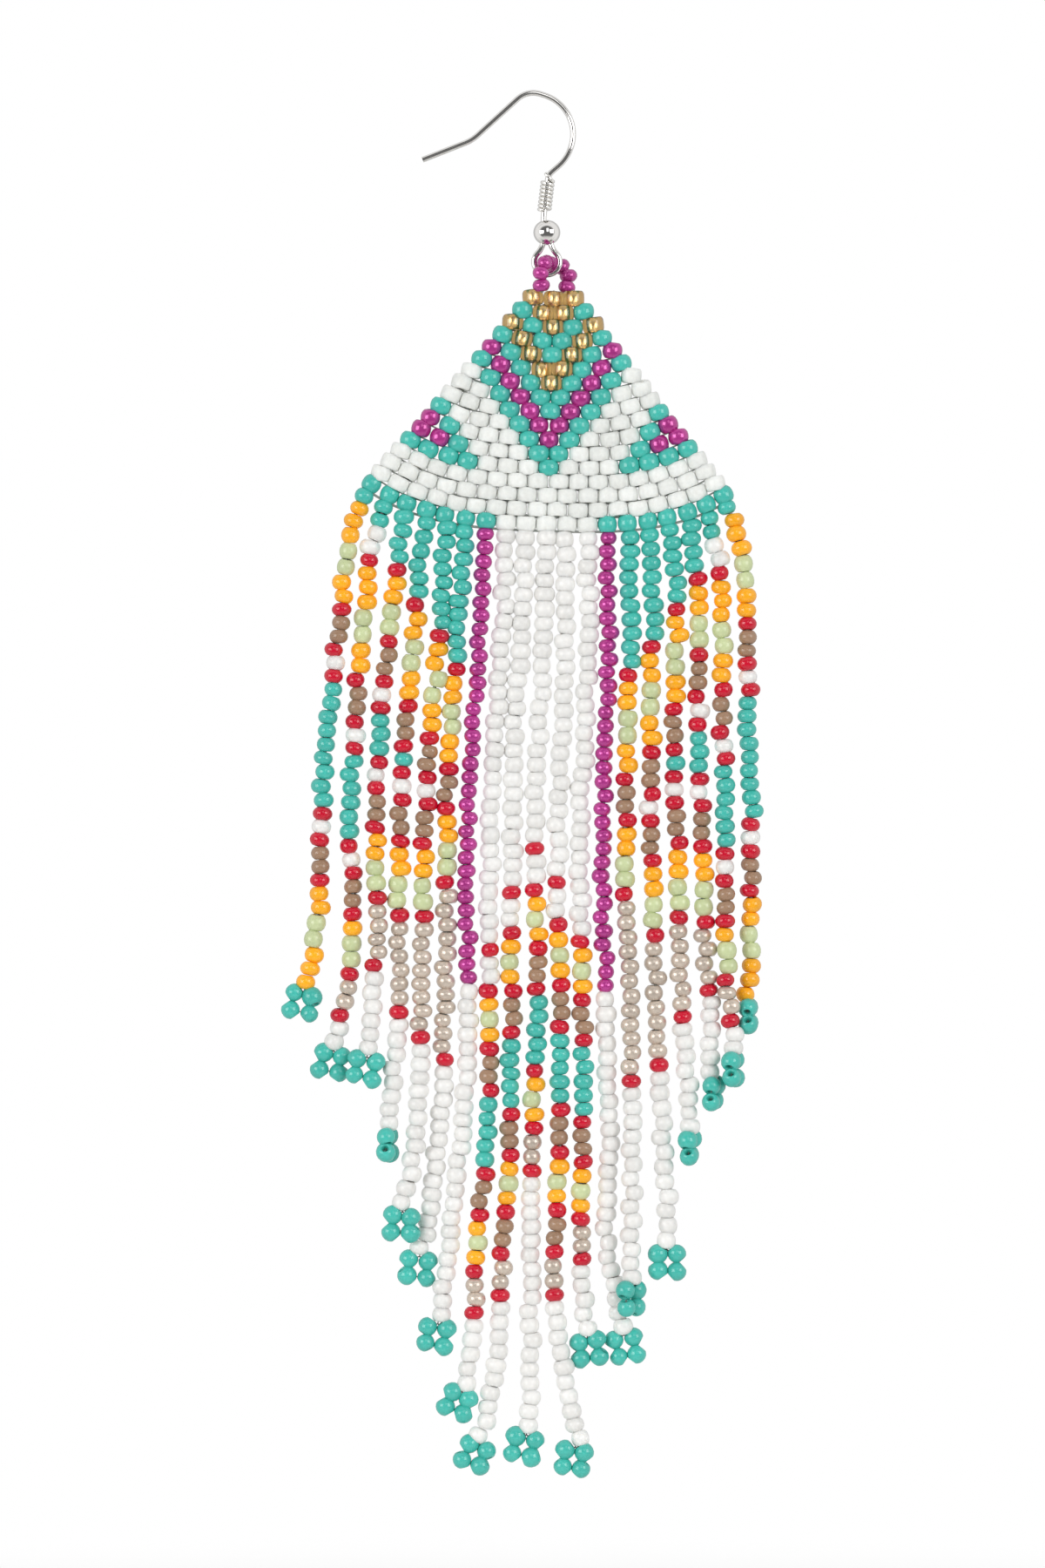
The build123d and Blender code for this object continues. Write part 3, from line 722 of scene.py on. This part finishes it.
coil_low, coil_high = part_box("ear_coil")
coil_middle = (coil_low + coil_high) / 2
coil_axis = Vector((sin(COIL_LEAN), 0, cos(COIL_LEAN)))
coil_side = Vector((cos(COIL_LEAN), 0, -sin(COIL_LEAN)))
coil_front = Vector((0, -1, 0))
wound_turns = COIL_TURNS - 1        # from the middle of its first wire to the middle of its last
winding = []
for turns in np.arange(0, wound_turns + COIL_STEP / 5, COIL_STEP):
    angle = 2 * pi * turns + COIL_END
    # At the top the wire leaves the winding and stands up
    lift = COIL_TAIL * max(0, 1 - (wound_turns - turns) / COIL_TAIL_TURNS) ** 2
    height = (turns - wound_turns / 2) * COIL_WIRE + lift
    outward = coil_side * cos(angle) + coil_front * sin(angle)
    winding.append(coil_middle + coil_axis * height + outward * COIL_RADIUS)
coil = Piece()
coil.tube(winding, COIL_WIRE * COIL_WIRE_GIRTH, "coil", sides=12)
coil.make("wound_coil", "hook", ["ear_coil"])


# Floor, light and camera
low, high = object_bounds()
middle = (low + high) / 2

FLOOR_DROP = 0.035          # under the lowest bead
FLOOR_RADIUS = 0.9
FLOOR_SIDES = 64
FADE_START, FADE_END = 0.06, 0.30       # from the floor's middle, where the paper is lost in the white

# The room's brightness as shares of white, and between which of a direction's parts to the
# back it changes
ROOM_FILL, ROOM_FILL_BACK = 0.34, 0.95                  # in the shadows
FILL_WAY, FILL_EDGE = (0, 0.9, 0.35), (0.0, 0.8)
ROOM_FRONT, ROOM_SIDE, ROOM_BACK = 0.15, 0.95, 0.60     # in what shines
FRONT_EDGE, BACK_EDGE = (-0.58, -0.28), (0.3, 0.8)
ROOM_THROUGH_FRONT, ROOM_THROUGH = 0.28, 0.62           # in what is seen through clear glass
THROUGH_EDGE = (-0.95, -0.55)


def paper_floor():
    """Pale seamless paper, whose far parts are lost in the white of the backdrop."""
    material, tree = new_material("pale_seamless_paper")
    place = add_node(tree, "ShaderNodeTexCoord")
    away = add_node(tree, "ShaderNodeVectorMath", {0: place.outputs["Object"]}, operation="LENGTH")
    fade = add_node(tree, "ShaderNodeMapRange", {"Value": away.outputs["Value"], "From Min": FADE_START,
                                                 "From Max": FADE_END}, interpolation_type="SMOOTHSTEP")
    paper = add_node(tree, "ShaderNodeBsdfPrincipled", {"Base Color": linear("#F3F2F0"), "Roughness": 0.8})
    clear = add_node(tree, "ShaderNodeBsdfTransparent")
    mixed = add_node(tree, "ShaderNodeMixShader", {"Fac": fade.outputs["Result"], 1: paper.outputs[0],
                                                   2: clear.outputs[0]})
    return finish_material(material, tree, mixed)


def lay_floor():
    mesh = bpy.data.meshes.new("paper_floor")
    turns = [2 * pi * side / FLOOR_SIDES for side in range(FLOOR_SIDES)]
    rim = [(FLOOR_RADIUS * cos(turn), FLOOR_RADIUS * sin(turn), 0) for turn in turns]
    mesh.from_pydata(rim, [], [list(range(FLOOR_SIDES))])
    mesh.materials.append(paper_floor())
    floor = bpy.data.objects.new("paper_floor", mesh)
    floor.location = (middle.x, 0, low.z - FLOOR_DROP)
    bpy.context.scene.collection.objects.link(floor)


def studio_room():
    """A dark room in front, white paper at the sides and its shaded far end behind. It fills the shadows,
    weakly from the front, shows in what shines, and is plain white to the eye."""
    world = bpy.data.worlds.new("studio_room")
    bpy.context.scene.world = world
    world.use_nodes = True
    tree = world.node_tree
    tree.nodes.clear()
    direction = add_node(tree, "ShaderNodeTexCoord")
    split = add_node(tree, "ShaderNodeSeparateXYZ", {0: direction.outputs["Generated"]})
    front = add_node(tree, "ShaderNodeMapRange", {
        "Value": split.outputs["Y"], "From Min": FRONT_EDGE[0], "From Max": FRONT_EDGE[1],
        "To Min": ROOM_FRONT, "To Max": ROOM_SIDE,
    }, interpolation_type="SMOOTHSTEP")
    behind = add_node(tree, "ShaderNodeMapRange", {
        "Value": split.outputs["Y"], "From Min": BACK_EDGE[0], "From Max": BACK_EDGE[1],
        "To Min": 0, "To Max": ROOM_BACK - ROOM_SIDE,
    }, interpolation_type="SMOOTHSTEP")
    mirrored = add_node(tree, "ShaderNodeMath", {0: front.outputs["Result"], 1: behind.outputs["Result"]})
    refracted = add_node(tree, "ShaderNodeMapRange", {
        "Value": split.outputs["Y"], "From Min": THROUGH_EDGE[0], "From Max": THROUGH_EDGE[1],
        "To Min": ROOM_THROUGH_FRONT, "To Max": ROOM_THROUGH,
    }, interpolation_type="SMOOTHSTEP")
    backward = add_node(tree, "ShaderNodeVectorMath", {0: direction.outputs["Generated"], 1: FILL_WAY},
                        operation="DOT_PRODUCT")
    filled = add_node(tree, "ShaderNodeMapRange", {
        "Value": backward.outputs["Value"], "From Min": FILL_EDGE[0], "From Max": FILL_EDGE[1],
        "To Min": ROOM_FILL, "To Max": ROOM_FILL_BACK,
    }, interpolation_type="SMOOTHSTEP")
    fill, shine, glow, seen = (
        add_node(tree, "ShaderNodeBackground", {"Color": (1, 1, 1, 1), "Strength": strength})
        for strength in (filled.outputs["Result"], mirrored.outputs[0], refracted.outputs["Result"], 1.0)
    )
    path = add_node(tree, "ShaderNodeLightPath")
    mixed = fill
    for ray, room in (("Is Glossy Ray", shine), ("Is Transmission Ray", glow), ("Is Camera Ray", seen)):
        mixed = add_node(tree, "ShaderNodeMixShader", {"Fac": path.outputs[ray], 1: mixed.outputs[0],
                                                       2: room.outputs[0]})
    add_node(tree, "ShaderNodeOutputWorld", {"Surface": mixed.outputs[0]})


def softbox(name, azimuth, elevation, distance, width, height, watts):
    """A soft lamp that faces the earring's middle."""
    data = bpy.data.lights.new(name, "AREA")
    data.shape = "RECTANGLE"
    data.size, data.size_y, data.energy = width, height, watts
    lamp = bpy.data.objects.new(name, data)
    back = Vector((sin(azimuth) * cos(elevation), -cos(azimuth) * cos(elevation), sin(elevation)))
    lamp.location = middle + back * distance
    lamp.rotation_euler = back.to_track_quat("Z", "Y").to_euler()
    lamp.visible_camera = False
    bpy.context.scene.collection.objects.link(lamp)


lay_floor()
studio_room()
softbox("softbox_left", radians(-46), radians(7), distance=0.75, width=0.46, height=0.40, watts=2.8)
softbox("softbox_right", radians(44), radians(13), distance=0.75, width=0.40, height=0.42, watts=2.5)
softbox("overhead_panel", radians(8), radians(28), distance=0.80, width=0.26, height=0.40, watts=0.55)

LENS, SENSOR = 180, 36      # millimetres
FRAME_FILL = 0.885          # of the picture's height, which the earring takes up
SEEN_FROM, SEEN_TO = 0.01, 20
camera_data = bpy.data.cameras.new("camera")
camera_data.lens, camera_data.sensor_width = LENS, SENSOR
camera = bpy.data.objects.new("camera", camera_data)
picture_height = (high.z - low.z) / FRAME_FILL
distance = picture_height / 2 / (SENSOR / 2 / LENS)
camera.location = (middle.x, middle.y - distance, middle.z)
camera.rotation_euler = (pi / 2, 0, 0)
camera_data.clip_start, camera_data.clip_end = SEEN_FROM, SEEN_TO
bpy.context.scene.collection.objects.link(camera)
bpy.context.scene.camera = camera
bpy.context.scene.view_settings.view_transform = "Standard"
